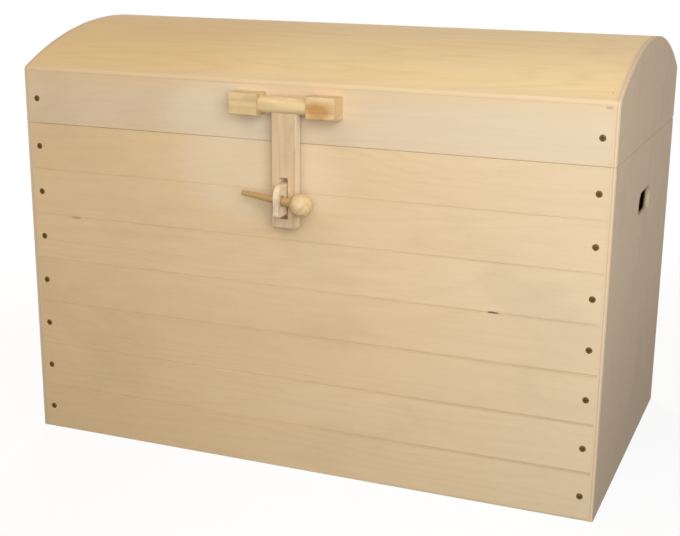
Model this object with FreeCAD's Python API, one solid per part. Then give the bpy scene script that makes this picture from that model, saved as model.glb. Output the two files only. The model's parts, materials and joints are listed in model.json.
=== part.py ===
import FreeCAD, Part
import math
import os

# A boarded whitewood chest with plywood ends, an arched lid on butt hinges and a wooden hasp latch.
# Sizes are in millimetres and degrees. X runs to the right seen from the front, Y to the back, Z up.
# The origin is on the floor, in the middle of the base.

# Box
chest_length = 700.0
chest_depth = 400.0
board_count = 7
board_height = 55.0
board_thickness = 15.0
tongue_thickness = 5.0
tongue_height = 4.0
arris = 0.5
panel_thickness = 6.0
panel_bevel = 0.8
hand_hole_length = 76.0
hand_hole_height = 26.0
hand_hole_below_rim = 71.0
hand_hole_bevel = 1.5
batten_size = 20.0
batten_chamfer = 4.0
bottom_thickness = 9.0
cleat_height = 20.0

# Lid
lid_gap = 0.3
lid_side_height = 64.7
arch_rise = 50.0
sheet_thickness = 4.0
sheet_edge_round = 5.0
rib_thickness = 20.0

# Fasteners
screw_head = 7.0
screw_shank = 3.5
screw_length = 32.0
screw_sink = 0.6
screw_flat_count = 6
lid_screw_height = 28.7
bottom_screw_length = 25.0
bottom_screw_from_end = 150.0
pin_diameter = 1.8
pin_length = 14.0
pin_from_end = 11.0
pin_edge = 14.0
rib_pin_count = 4

# Hinges
hinge_from_end = 130.0
hinge_length = 50.0
hinge_axis_inset = 1.8
hinge_edge_round = 4.0
leaf_width = 11.5
leaf_thickness = 1.4
leaf_play = 0.3
knuckle_diameter = 6.0
knuckle_flat_count = 24
knuckle_play = 0.3
knuckle_relief = 0.2
hinge_pin_diameter = 2.5
hinge_screw_head = 4.6
hinge_screw_shank = 2.4
hinge_screw_length = 14.0
hinge_screw_from_axis = 7.4
hinge_screw_pitch = 30.0

# Hasp
latch_offset = -6.0
bar_above_lid_edge = 41.7
bar_diameter = 19.0
bar_clear_of_lid = 2.5
block_width = 33.0
block_height = 24.0
block_spacing = 58.0
block_round = 2.0
block_screw_from_end = 5.5
block_screw_pitch = 13.0
block_screw_length = 26.0
block_screw_head = 6.0
block_screw_shank = 3.0
pivot_diameter = 12.0
pivot_length = 20.0
strap_width = 30.0
strap_thickness = 10.0
strap_length = 135.0
strap_tenon_past_axis = 3.0
strap_bevel = 1.2
strap_corner = 4.0
slot_length = 46.0
slot_above_end = 11.0

# Staple and peg
staple_thickness = 6.5
staple_reach = 38.0
staple_brow = 13.0
staple_corner = 3.0
staple_side_room = 1.75
staple_room_below = 5.5
staple_room_above = 6.5
peg_from_strap = 10.5
peg_root_diameter = 10.0
peg_tip_diameter = 6.0
peg_tail = 52.0
peg_tip_bevel = 1.5
turned_flat_count = 20
peg_yaw = 12.0
peg_droop = 3.0
peg_slack = 0.3
knob_diameter = 26.0
knob_side_room = 0.4
knob_flat = 1.5
knob_band_count = 9

# Fits
glue_gap = 0.1
sheet_gap = 0.03
tongue_play = 0.2
panel_play = 0.3
screw_play = 0.1
running_play = 0.1
hinge_pin_play = 0.05
past = 1.0
tiny = 0.0001

# Worked out from the sizes above
half_length = chest_length / 2
half_depth = chest_depth / 2
inner_half_length = half_length - panel_thickness
inner_half_depth = half_depth - board_thickness
box_height = board_count * board_height
lid_bottom = box_height + lid_gap
shoulder = lid_bottom + lid_side_height
arch_radius = (half_depth ** 2 + arch_rise ** 2) / (2 * arch_rise)
arch_centre = shoulder + arch_rise - arch_radius
hinge_axis_y = half_depth - hinge_axis_inset
hinge_axis_z = box_height + lid_gap / 2
screw_x = inner_half_length - batten_size / 2
bar_out = bar_clear_of_lid + bar_diameter / 2
bar_y = -half_depth - bar_out
bar_z = lid_bottom + bar_above_lid_edge
strap_end_z = bar_z - strap_length
slot_low = strap_end_z + slot_above_end
slot_high = slot_low + slot_length
slot_width = staple_thickness + 2 * staple_side_room
staple_low = slot_low + staple_room_below
staple_high = slot_high - staple_room_above
strap_front_y = bar_y - strap_thickness / 2
peg_hole_y = strap_front_y - peg_from_strap
peg_hole_z = (staple_low + staple_high) / 2

right = FreeCAD.Vector(1, 0, 0)
back = FreeCAD.Vector(0, 1, 0)
up = FreeCAD.Vector(0, 0, 1)


def at(x, y, z):
    return FreeCAD.Vector(x, y, z)


def block(low, high):
    """Box between two opposite corners, given in any order."""
    corner = [min(a, b) for a, b in zip(low, high)]
    size = [abs(a - b) for a, b in zip(low, high)]
    return Part.makeBox(*size, at(*corner))


def rod(start, direction, diameter, length):
    return Part.makeCylinder(diameter / 2, length, start, direction)


def prism(outline, x_start, x_end):
    """Solid with one outline of (y, z) points along X."""
    points = [at(x_start, y, z) for y, z in outline]
    face = Part.Face(Part.makePolygon(points + points[:1]))
    return face.extrude(right * (x_end - x_start))


def placed(shape, point, direction):
    """Copy of a shape made along Z, with its origin at the point and its Z along the direction."""
    moved = shape.copy()
    moved.Placement = FreeCAD.Placement(point, FreeCAD.Rotation(up, direction))
    return moved


def cut(shape, tools):
    left = shape.cut(tools)
    return left.Solids[0]


def edges_on(shape, **where):
    """Edges whose ends all lie at the given coordinates, such as x=0."""
    found = []
    for edge in shape.Edges:
        ends = [vertex.Point for vertex in edge.Vertexes]
        if all(abs(getattr(end, axis) - value) < tiny for end in ends for axis, value in where.items()):
            found.append(edge)
    return found


def faceted(rings, flats):
    """Solid along Z with flats in place of its round faces, through (radius, height) rings.

    Screws, pins, hinge knuckles, the peg and its knob are drawn this way, to keep them light."""
    turns = [2 * math.pi * step / flats for step in range(flats)]
    loops = [[at(radius * math.cos(turn), radius * math.sin(turn), height) for turn in turns]
             for radius, height in rings]
    outlines = [loops[0], loops[-1]]
    for near, far in zip(loops, loops[1:]):
        for step in range(flats):
            outlines.append([near[step - 1], near[step], far[step], far[step - 1]])
    faces = [Part.Face(Part.makePolygon(points + points[:1])) for points in outlines]
    return Part.makeSolid(Part.makeShell(faces))


def countersunk_screw(head, shank, length):
    """Screw along Z with the top of its head at the origin."""
    cone = (head - shank) / 2
    return faceted([(head / 2, 0), (shank / 2, cone), (shank / 2, length)], screw_flat_count)


def screw_hole(head, shank, length, sink):
    """Countersunk hole along Z for such a screw, sunk below the surface at the origin."""
    wide = head / 2 + screw_play
    narrow = shank / 2 + screw_play
    cone_end = sink + wide - narrow
    depth = sink + length + screw_play
    return faceted([(wide, -past), (wide, sink), (narrow, cone_end), (narrow, depth)], screw_flat_count)


def sunk(point, direction, sink):
    return point + direction * sink


# Long wall screws and their holes, shared by the front, the back and the lid.
wall_screw = countersunk_screw(screw_head, screw_shank, screw_length)
wall_hole = screw_hole(screw_head, screw_shank, screw_length, screw_sink)


def wall_screw_points(side, height):
    """Where the screws at one height enter the front (side -1) or the back (side 1)."""
    return [at(x, side * half_depth, height) for x in (-screw_x, screw_x)]


def wall_screws(side, heights):
    inward = back * -side
    points = [point for height in heights for point in wall_screw_points(side, height)]
    return [placed(wall_screw, sunk(point, inward, screw_sink), inward) for point in points]


def wall_holes(side, heights):
    inward = back * -side
    points = [point for height in heights for point in wall_screw_points(side, height)]
    return [placed(wall_hole, point, inward) for point in points]


board_screw_heights = [(index + 0.5) * board_height for index in range(board_count)]
lid_screw_heights = [lid_bottom + lid_screw_height]


# Hinges: each pair of leaves turns about one axis along X, inside the back seam.
def hinge_centres():
    return {"left": hinge_from_end - half_length, "right": half_length - hinge_from_end}


def hinge_leaf(centre, direction):
    """Leaf below the axis (direction -1, two outer knuckles) or above it (1, the middle knuckle)."""
    third = hinge_length / 3
    barrel_ends = [(knuckle_diameter / 2, 0), (knuckle_diameter / 2, third - knuckle_play)]
    barrel = faceted(barrel_ends, knuckle_flat_count)
    start = centre - hinge_length / 2
    near = hinge_axis_z + direction * leaf_play / 2
    far = near + direction * leaf_thickness
    corner = (start, hinge_axis_y - leaf_width, near)
    leaf = block(corner, (start + hinge_length, hinge_axis_y, far))
    own = [1] if direction > 0 else [0, 2]
    for index in range(3):
        x = start + index * third
        if index in own:
            barrel_start = at(x + knuckle_play / 2, hinge_axis_y, hinge_axis_z)
            leaf = leaf.fuse(placed(barrel, barrel_start, right))
        else:
            notch_start = at(x - knuckle_play / 2, hinge_axis_y, hinge_axis_z)
            notch_diameter = knuckle_diameter + 2 * knuckle_play
            leaf = leaf.cut(rod(notch_start, right, notch_diameter, third + knuckle_play))
    bore_start = at(start - past, hinge_axis_y, hinge_axis_z)
    bore_diameter = hinge_pin_diameter + 2 * hinge_pin_play
    bore = rod(bore_start, right, bore_diameter, hinge_length + 2 * past)
    return cut(leaf, [bore] + hinge_screw_holes(centre, direction)).removeSplitter()


def hinge_screw_points(centre, direction):
    """Middle of each screw head, on the face of the leaf that looks at the other leaf."""
    face = hinge_axis_z + direction * leaf_play / 2
    y = hinge_axis_y - hinge_screw_from_axis
    return [at(centre + side * hinge_screw_pitch / 2, y, face) for side in (-1, 1)]


def hinge_screws(centre, direction):
    screw = countersunk_screw(hinge_screw_head, hinge_screw_shank, hinge_screw_length)
    return [placed(screw, point, up * direction) for point in hinge_screw_points(centre, direction)]


def hinge_screw_holes(centre, direction):
    hole = screw_hole(hinge_screw_head, hinge_screw_shank, hinge_screw_length, 0)
    return [placed(hole, point, up * direction) for point in hinge_screw_points(centre, direction)]


def hinge_seats(direction):
    """What the hinges take out of the board edge below (direction -1) or above (1) the seam."""
    seats = []
    for centre in hinge_centres().values():
        reach = hinge_length / 2 + knuckle_play
        floor = hinge_axis_z + direction * (leaf_play / 2 + leaf_thickness)
        low = (centre - reach, hinge_axis_y - leaf_width - knuckle_play, hinge_axis_z)
        seats.append(block(low, (centre + reach, half_depth + past, floor)))
        relief_start = at(centre - reach, hinge_axis_y, hinge_axis_z)
        seats.append(rod(relief_start, right, knuckle_diameter + 2 * knuckle_relief, 2 * reach))
        seats += hinge_screw_holes(centre, direction)
    return seats


def hinge_pin(centre):
    start = at(centre - hinge_length / 2, hinge_axis_y, hinge_axis_z)
    return rod(start, right, hinge_pin_diameter, hinge_length)


# Walls
def board_outline(side, low, high, groove, tongue, hinge_edge):
    """Board section: bevelled arrises outside, a groove below and a tongue on top where asked."""
    middle = board_thickness / 2
    slim = tongue_thickness / 2
    wide = slim + tongue_play
    deep = tongue_height + tongue_play
    points = [(arris, low), (0, low + arris)]
    points += [(0, high)] if hinge_edge else [(0, high - arris), (arris, high)]
    if tongue:
        crest = high + tongue_height
        points += [(middle - slim, high), (middle - slim, crest)]
        points += [(middle + slim, crest), (middle + slim, high)]
    points += [(board_thickness, high), (board_thickness, low)]
    if groove:
        roof = low + deep
        points += [(middle + wide, low), (middle + wide, roof), (middle - wide, roof), (middle - wide, low)]
    return [(side * (half_depth - inward), z) for inward, z in points]


def wall_board(side, index):
    low = index * board_height
    top = index == board_count - 1
    hinge_edge = top and side > 0
    outline = board_outline(side, low, low + board_height, index > 0, not top, hinge_edge)
    board = prism(outline, -inner_half_length, inner_half_length)
    if hinge_edge:
        board = board.makeFillet(hinge_edge_round, edges_on(board, y=half_depth, z=box_height))
        board = cut(board, hinge_seats(-1))
    tools = wall_holes(side, [board_screw_heights[index]])
    if side < 0:
        tools.append(staple_mortise())
    return cut(board, tools)


def end_panel(side):
    inner = side * inner_half_length
    outer = side * half_length
    panel = block((inner, -half_depth, 0), (outer, half_depth, box_height))
    panel = panel.makeFillet(hinge_edge_round, edges_on(panel, y=half_depth, z=box_height))
    panel = panel.makeChamfer(panel_bevel, edges_on(panel, x=outer))
    centre_z = box_height - hand_hole_below_rim
    radius = hand_hole_height / 2
    reach = (hand_hole_length - hand_hole_height) / 2
    hole = block((inner, -reach, centre_z - radius), (outer, reach, centre_z + radius))
    for y in (-reach, reach):
        hole = hole.fuse(rod(at(inner, y, centre_z), right * side, hand_hole_height, panel_thickness))
    panel = cut(panel, [hole])
    rim = []
    for x in (inner, outer):
        rim += [edge for edge in edges_on(panel, x=x) if abs(edge.CenterOfMass.y) < hand_hole_length / 2
                and abs(edge.CenterOfMass.z - centre_z) < hand_hole_height]
    return panel.makeChamfer(hand_hole_bevel, rim)


def corner_batten(side, depth_side):
    inner = at(side * (inner_half_length - batten_size), depth_side * (inner_half_depth - batten_size), 0)
    low = (inner.x, inner.y, bottom_thickness)
    high = (side * inner_half_length, depth_side * inner_half_depth, box_height)
    batten = block(low, high)
    batten = batten.makeChamfer(batten_chamfer, edges_on(batten, x=inner.x, y=inner.y))
    return cut(batten, wall_holes(depth_side, board_screw_heights))


# Bottom
def bottom_screw_points():
    points = []
    wall_y = inner_half_depth - batten_size / 2
    for y in (-wall_y, wall_y):
        points += [at(side * (half_length - bottom_screw_from_end), y, 0) for side in (-1, 1)]
    for x in (-screw_x, screw_x):
        points.append(at(x, 0, 0))
    return points


def bottom_screws():
    screw = countersunk_screw(screw_head, screw_shank, bottom_screw_length)
    return [placed(screw, sunk(point, up, screw_sink), up) for point in bottom_screw_points()]


def bottom_screw_holes():
    hole = screw_hole(screw_head, screw_shank, bottom_screw_length, screw_sink)
    return [placed(hole, point, up) for point in bottom_screw_points()]


def bottom_panel():
    corner = at(inner_half_length - panel_play, inner_half_depth - panel_play, bottom_thickness)
    panel = block((-corner.x, -corner.y, 0), (corner.x, corner.y, corner.z))
    return cut(panel, bottom_screw_holes())


def bottom_cleats():
    length_reach = inner_half_length - batten_size
    depth_reach = inner_half_depth - batten_size
    top = bottom_thickness + cleat_height
    cleats = {}
    for name, side in (("front", -1), ("back", 1)):
        low = (-length_reach, side * depth_reach, bottom_thickness)
        cleats[name] = block(low, (length_reach, side * inner_half_depth, top))
    for name, side in (("left", -1), ("right", 1)):
        low = (side * length_reach, -depth_reach, bottom_thickness)
        cleats[name] = block(low, (side * inner_half_length, depth_reach, top))
    return {name: cut(cleat, bottom_screw_holes()) for name, cleat in cleats.items()}


# Lid
def arch_point(radius, y):
    return y, arch_centre + math.sqrt(radius ** 2 - y ** 2)


def arc_along(radius, y_start, y_end, x):
    """Arc of the lid's arch at one radius, from one depth to another."""
    middle = (y_start + y_end) / 2
    points = [at(x, *arch_point(radius, y)) for y in (y_start, middle, y_end)]
    return Part.Arc(*points).toShape()


def closed_by_lines(edges):
    """Face from arcs and lines, each given from its start to its end."""
    return Part.Face(Part.Wire(edges))


def line(start, end):
    return Part.LineSegment(start, end).toShape()


def under_sheet():
    """The room below the bent sheet, which the boards and ribs of the lid are shaped to."""
    radius = arch_radius - sheet_thickness - sheet_gap
    return rod(at(-half_length, 0, arch_centre), right, 2 * radius, chest_length)


def top_sheet():
    inside = arch_radius - sheet_thickness
    x = -inner_half_length
    front_top, back_top = [at(x, *arch_point(arch_radius, y)) for y in (-half_depth, half_depth)]
    front_low, back_low = [at(x, *arch_point(inside, y)) for y in (-half_depth, half_depth)]
    edges = [
        arc_along(arch_radius, -half_depth, half_depth, x),
        line(back_top, back_low),
        arc_along(inside, half_depth, -half_depth, x),
        line(front_low, front_top),
    ]
    sheet = closed_by_lines(edges).extrude(right * (2 * inner_half_length))
    rims = edges_on(sheet, y=-half_depth, z=shoulder) + edges_on(sheet, y=half_depth, z=shoulder)
    sheet = sheet.makeFillet(sheet_edge_round, rims)
    return cut(sheet, sheet_pin_holes())


def lid_gable(side):
    inner = side * inner_half_length
    front_low = at(inner, -half_depth, lid_bottom)
    back_low = at(inner, half_depth, lid_bottom)
    front_top = at(inner, -half_depth, shoulder)
    back_top = at(inner, half_depth, shoulder)
    edges = [
        arc_along(arch_radius, -half_depth, half_depth, inner),
        line(back_top, back_low),
        line(back_low, front_low),
        line(front_low, front_top),
    ]
    gable = closed_by_lines(edges).extrude(right * (side * panel_thickness))
    rims = edges_on(gable, y=-half_depth, z=shoulder) + edges_on(gable, y=half_depth, z=shoulder)
    gable = gable.makeFillet(sheet_edge_round, rims)
    gable = gable.makeFillet(hinge_edge_round, edges_on(gable, y=half_depth, z=lid_bottom))
    return gable.makeChamfer(panel_bevel, edges_on(gable, x=side * half_length))


def lid_rib(side):
    inner = side * (inner_half_length - rib_thickness)
    top = shoulder + arch_rise
    rib = block((inner, -inner_half_depth, lid_bottom), (side * inner_half_length, inner_half_depth, top))
    rib = rib.common(under_sheet())
    tools = wall_holes(-1, lid_screw_heights) + wall_holes(1, lid_screw_heights) + sheet_pin_holes()
    return cut(rib, tools)


def lid_board(side):
    """Front (side -1) or back (side 1) board of the lid, its top shaped to the bent sheet."""
    hinge_edge = side > 0
    lower = [(arris, lid_bottom), (0, lid_bottom + arris)]
    points = [(0, lid_bottom)] if hinge_edge else lower
    top = shoulder + board_thickness
    points += [(0, top), (board_thickness, top), (board_thickness, lid_bottom)]
    outline = [(side * (half_depth - inward), z) for inward, z in points]
    board = prism(outline, -inner_half_length, inner_half_length)
    if hinge_edge:
        board = board.makeFillet(hinge_edge_round, edges_on(board, y=half_depth, z=lid_bottom))
        board = cut(board, hinge_seats(1))
    board = board.common(under_sheet())
    tools = wall_holes(side, lid_screw_heights)
    if side < 0:
        tools += block_screw_holes()
    return cut(board, tools)


def sheet_pin_places():
    """Top and inward direction of each pin, in a row along the arch over each rib."""
    span = 2 * math.asin((half_depth - pin_edge) / arch_radius)
    places = []
    for x in (-half_length + pin_from_end, half_length - pin_from_end):
        for index in range(rib_pin_count):
            angle = span * (index / (rib_pin_count - 1) - 0.5)
            outward = at(0, math.sin(angle), math.cos(angle))
            places.append((at(x, 0, arch_centre) + outward * arch_radius, outward * -1))
    return places


def sheet_pins():
    pin = faceted([(pin_diameter / 2, 0), (pin_diameter / 2, pin_length)], screw_flat_count)
    return [placed(pin, top, inward) for top, inward in sheet_pin_places()]


def sheet_pin_holes():
    radius = pin_diameter / 2 + screw_play
    hole = faceted([(radius, -past), (radius, pin_length + screw_play)], screw_flat_count)
    return [placed(hole, top, inward) for top, inward in sheet_pin_places()]


# Hasp: two blocks on the lid carry a round bar, and the strap hangs from the bar.
def block_ends(side):
    """Inner and outer X of the block at the left (side -1) or right (side 1) of the strap."""
    inner = latch_offset + side * block_spacing / 2
    return inner, inner + side * block_width


def block_screw_places():
    """Screws from inside the lid, clear of the pivots."""
    y = -half_depth + board_thickness
    places = []
    for side in (-1, 1):
        x = block_ends(side)[1] - side * block_screw_from_end
        places += [at(x, y, bar_z + step * block_screw_pitch / 2) for step in (-1, 1)]
    return places


def block_screws():
    screw = countersunk_screw(block_screw_head, block_screw_shank, block_screw_length)
    return [placed(screw, point, back * -1) for point in block_screw_places()]


def block_screw_holes():
    hole = screw_hole(block_screw_head, block_screw_shank, block_screw_length, 0)
    return [placed(hole, point, back * -1) for point in block_screw_places()]


def hasp_block(side):
    inner, outer = block_ends(side)
    front = -half_depth - 2 * bar_out
    low = bar_z - block_height / 2
    high = bar_z + block_height / 2
    body = block((inner, -half_depth, low), (outer, front, high))
    body = body.makeFillet(block_round, edges_on(body, y=front, z=low) + edges_on(body, y=front, z=high))
    bore_length = pivot_length + running_play + past
    bore_start = at(inner - side * past, bar_y, bar_z)
    bore = rod(bore_start, right * side, pivot_diameter + 2 * running_play, bore_length)
    return cut(body, [bore] + block_screw_holes())


def hasp_bar():
    half = block_spacing / 2 - 2 * running_play
    bar = rod(at(latch_offset - half, bar_y, bar_z), right, bar_diameter, 2 * half)
    reach = block_spacing / 2 + pivot_length - running_play
    bar = bar.fuse(rod(at(latch_offset - reach, bar_y, bar_z), right, pivot_diameter, 2 * reach))
    side = strap_width / 2 + glue_gap
    cheek = strap_thickness / 2 + glue_gap
    low = (latch_offset - side, bar_y - cheek, bar_z - bar_diameter)
    mortise = block(low, (latch_offset + side, bar_y + cheek, bar_z + strap_tenon_past_axis))
    return cut(bar.removeSplitter(), [mortise])


def hasp_strap():
    half = strap_width / 2
    back_y = bar_y + strap_thickness / 2
    top = bar_z + strap_tenon_past_axis - glue_gap
    strap = block((latch_offset - half, strap_front_y, strap_end_z), (latch_offset + half, back_y, top))
    corners = []
    for x in (latch_offset - half, latch_offset + half):
        corners += edges_on(strap, x=x, z=strap_end_z)
    strap = strap.makeFillet(strap_corner, corners)
    slot_half = slot_width / 2
    slot = block((latch_offset - slot_half, strap_front_y - past, slot_low),
                 (latch_offset + slot_half, back_y + past, slot_high))
    shoulders = []
    for x in (latch_offset - half, latch_offset + half):
        shoulders += edges_on(strap, x=x, y=strap_front_y)
    shoulders += edges_on(strap, y=strap_front_y, z=strap_end_z)
    return cut(strap, [slot]).makeChamfer(strap_bevel, shoulders)


# Staple: a tongue let through the front boards, with a rounded brow and the hole for the peg.
def staple_mortise():
    half = staple_thickness / 2 + glue_gap
    low = (latch_offset - half, -half_depth - past, staple_low - glue_gap)
    high = (latch_offset + half, -inner_half_depth + past, staple_high + glue_gap)
    return block(low, high)


def hasp_staple():
    half = staple_thickness / 2
    front = -half_depth - staple_reach
    low = (latch_offset - half, front, staple_low)
    tongue = block(low, (latch_offset + half, -inner_half_depth, staple_high))
    tongue = tongue.makeFillet(staple_brow, edges_on(tongue, y=front, z=staple_high))
    tongue = tongue.makeFillet(staple_corner, edges_on(tongue, y=front, z=staple_low))
    lean = half * math.tan(math.radians(peg_yaw))
    hole_diameter = peg_root_diameter / math.cos(math.radians(peg_yaw)) + 2 * (lean + peg_slack)
    start = at(latch_offset - half - past, peg_hole_y, peg_hole_z)
    hole = rod(start, right, hole_diameter, staple_thickness + 2 * past)
    return cut(tongue, [hole])


# Peg: it sits loosely in the staple, swung out and drooping towards its knob, and draws out to the right.
peg_axis = at(
    math.cos(math.radians(peg_yaw)) * math.cos(math.radians(peg_droop)),
    -math.sin(math.radians(peg_yaw)) * math.cos(math.radians(peg_droop)),
    -math.sin(math.radians(peg_droop)),
)
peg_middle = at(latch_offset, peg_hole_y, peg_hole_z)
knob_along = (strap_width / 2 + knob_side_room + knob_diameter / 2) / peg_axis.x
knob_face = knob_along - math.sqrt((knob_diameter / 2) ** 2 - (peg_root_diameter / 2) ** 2) + knob_flat


def locking_peg():
    root = peg_root_diameter / 2
    tip = peg_tip_diameter / 2
    rings = [(tip - peg_tip_bevel, -peg_tail), (tip, peg_tip_bevel - peg_tail)]
    rings += [(root, knob_face), (root, knob_along)]
    return placed(faceted(rings, turned_flat_count), peg_middle, peg_axis)


def peg_knob():
    """Ball in bands from the flat where the peg goes in to a small flat at its far end."""
    radius = knob_diameter / 2
    first_turn = math.acos((knob_along - knob_face) / radius)
    band = (math.pi - first_turn) / (knob_band_count + 0.5)
    turns = [first_turn + band * step for step in range(knob_band_count + 1)]
    rings = [(radius * math.sin(turn), knob_along - radius * math.cos(turn)) for turn in turns]
    ball = faceted(rings, turned_flat_count)
    seat_radius = peg_root_diameter / 2 + glue_gap
    seat = faceted([(seat_radius, 0), (seat_radius, knob_along)], turned_flat_count)
    return placed(cut(ball, [seat]), peg_middle, peg_axis)


def all_nodes():
    nodes = {}
    for index in range(board_count):
        nodes[f"front_board_{index + 1}"] = wall_board(-1, index)
        nodes[f"back_board_{index + 1}"] = wall_board(1, index)
    for name, side in (("left", -1), ("right", 1)):
        nodes[f"{name}_end_panel"] = end_panel(side)
        nodes[f"corner_batten_front_{name}"] = corner_batten(side, -1)
        nodes[f"corner_batten_back_{name}"] = corner_batten(side, 1)
        nodes[f"lid_{name}_gable"] = lid_gable(side)
        nodes[f"lid_{name}_rib"] = lid_rib(side)
        nodes[f"hasp_block_{name}"] = hasp_block(side)
    nodes["bottom_panel"] = bottom_panel()
    for name, cleat in bottom_cleats().items():
        nodes[f"bottom_cleat_{name}"] = cleat
    nodes["front_screws"] = Part.makeCompound(wall_screws(-1, board_screw_heights))
    nodes["back_screws"] = Part.makeCompound(wall_screws(1, board_screw_heights))
    nodes["bottom_screws"] = Part.makeCompound(bottom_screws())
    nodes["lid_front_board"] = lid_board(-1)
    nodes["lid_back_board"] = lid_board(1)
    nodes["lid_top_sheet"] = top_sheet()
    lid_screws = wall_screws(-1, lid_screw_heights) + wall_screws(1, lid_screw_heights)
    nodes["lid_screws"] = Part.makeCompound(lid_screws)
    nodes["top_sheet_pins"] = Part.makeCompound(sheet_pins())
    lower_screws = []
    upper_screws = []
    for name, centre in hinge_centres().items():
        nodes[f"hinge_lower_leaf_{name}"] = hinge_leaf(centre, -1)
        nodes[f"hinge_upper_leaf_{name}"] = hinge_leaf(centre, 1)
        nodes[f"hinge_pin_{name}"] = hinge_pin(centre)
        lower_screws += hinge_screws(centre, -1)
        upper_screws += hinge_screws(centre, 1)
    nodes["hinge_lower_screws"] = Part.makeCompound(lower_screws)
    nodes["hinge_upper_screws"] = Part.makeCompound(upper_screws)
    nodes["hasp_block_screws"] = Part.makeCompound(block_screws())
    nodes["hasp_bar"] = hasp_bar()
    nodes["hasp_strap"] = hasp_strap()
    nodes["hasp_staple"] = hasp_staple()
    nodes["locking_peg"] = locking_peg()
    nodes["peg_knob"] = peg_knob()
    return nodes


os.makedirs("parts", exist_ok=True)
for node, shape in all_nodes().items():
    shape.exportStep(f"parts/{node}.step")
    print(node, len(shape.Solids), round(shape.Volume))
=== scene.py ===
# %% [markdown]
# # A boarded treasure chest in bare wood
#
# The chest is a box of planed boards with plywood ends, an arched lid and a wooden hasp.
# Its solids come ready made from CAD, so the work in Blender is what the eye adds to them:
# grain, cut plies, wear, some painted light and shade, turned surfaces, screw heads and light.
# Everything is in metres and stays in the frame of the CAD parts.

import json
import math

import bmesh
import bpy
from mathutils import Matrix, Vector

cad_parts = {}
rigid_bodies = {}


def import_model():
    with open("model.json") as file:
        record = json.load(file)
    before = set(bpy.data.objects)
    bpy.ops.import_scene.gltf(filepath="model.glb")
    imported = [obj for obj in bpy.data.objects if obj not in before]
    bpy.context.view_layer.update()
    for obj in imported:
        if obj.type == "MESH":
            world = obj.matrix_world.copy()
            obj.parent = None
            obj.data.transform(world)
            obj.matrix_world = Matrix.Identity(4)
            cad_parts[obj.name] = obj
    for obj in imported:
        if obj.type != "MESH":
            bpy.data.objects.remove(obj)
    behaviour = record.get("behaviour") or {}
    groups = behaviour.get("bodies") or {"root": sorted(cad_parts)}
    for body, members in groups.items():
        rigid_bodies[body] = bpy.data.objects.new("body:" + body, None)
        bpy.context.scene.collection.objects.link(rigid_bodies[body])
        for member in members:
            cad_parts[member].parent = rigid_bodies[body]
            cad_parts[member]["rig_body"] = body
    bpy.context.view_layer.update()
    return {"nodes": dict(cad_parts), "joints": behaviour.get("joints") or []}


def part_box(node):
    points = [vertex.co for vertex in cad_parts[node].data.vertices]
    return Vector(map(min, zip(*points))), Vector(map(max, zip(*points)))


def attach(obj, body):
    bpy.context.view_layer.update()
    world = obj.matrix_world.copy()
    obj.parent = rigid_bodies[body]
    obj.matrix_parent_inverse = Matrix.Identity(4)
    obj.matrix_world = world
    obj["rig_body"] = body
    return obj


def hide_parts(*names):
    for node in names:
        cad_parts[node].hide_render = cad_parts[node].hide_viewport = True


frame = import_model()
nodes = frame["nodes"]

# %% [markdown]
# ## The camera
#
# The chest is seen from a little above and from its right, near enough for the far end to look smaller.
# A camera could be aimed by eye, but matching the corners of the box to the picture gives all of it at once:
# the place, the turn, the lens and a small shift, because the picture was cropped a little off
# the lens's middle.

# %% Camera
camera_turn = (74.705, -0.796, 21.433)
camera_data = bpy.data.cameras.new("camera")
camera_data.lens = 64.94
camera_data.shift_x = -0.0368
camera_data.shift_y = 0.0088
camera = bpy.data.objects.new("camera", camera_data)
camera.location = (0.5531, -1.4087, 0.6010)
camera.rotation_euler = [math.radians(turn) for turn in camera_turn]
bpy.context.scene.collection.objects.link(camera)
bpy.context.scene.camera = camera
bpy.context.scene.view_settings.view_transform = "Standard"
print("camera", camera.location[:], "lens", camera_data.lens)

# %% [markdown]
# ## Small helpers for shader nodes
#
# A material is a graph of nodes. Adding each node, setting it and linking it takes many lines of code,
# so short helpers do that: one fills a socket, one adds a node, and the rest add the few kinds of node
# that come again and again. A value can be a plain number or the output of another node,
# and the helpers take either.

# %% Helpers that add nodes
def fill(tree, socket, value):
    """Gives a socket a plain value, or links another node's output to it."""
    if isinstance(value, bpy.types.NodeSocket):
        tree.links.new(value, socket)
    else:
        socket.default_value = value


def put(tree, kind, sockets=None, **settings):
    """Adds one node with its settings and its sockets, named or numbered."""
    node = tree.nodes.new("ShaderNode" + kind)
    for name, value in settings.items():
        setattr(node, name, value)
    for name, value in (sockets or {}).items():
        fill(tree, node.inputs[name], value)
    return node


def work_out(tree, operation, *values, clamp=False):
    """One step of arithmetic on numbers."""
    numbers = dict(enumerate(values))
    return put(tree, "Math", numbers, operation=operation, use_clamp=clamp).outputs[0]


def work_out_place(tree, operation, *places):
    """One step of arithmetic on coordinates. A length comes out as a number."""
    node = put(tree, "VectorMath", dict(enumerate(places)), operation=operation)
    return node.outputs["Value" if operation == "LENGTH" else "Vector"]


def axes(tree, place):
    """The X, Y and Z of coordinates, each by itself."""
    return put(tree, "SeparateXYZ", {0: place}).outputs


print("node helpers ready")

# %% Helpers for values and colours
def stretch(tree, place, by):
    """Scales the three coordinates, each by its own factor."""
    return work_out_place(tree, "MULTIPLY", place, by)


def between(tree, value, low, high):
    """Soft step: 0 at the low value, 1 at the high one. The low one may be the larger."""
    sockets = {"Value": value, "From Min": low, "From Max": high}
    return put(tree, "MapRange", sockets, interpolation_type="SMOOTHSTEP").outputs[0]


def noise(tree, place, detail=2.0, roughness=0.5, distortion=0.0):
    """Cloudy value around 0.5. The place is scaled beforehand, in features per metre."""
    sockets = {"Vector": place, "Scale": 1.0, "Detail": detail, "Roughness": roughness}
    sockets["Distortion"] = distortion
    return put(tree, "TexNoise", sockets).outputs[0]


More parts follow.
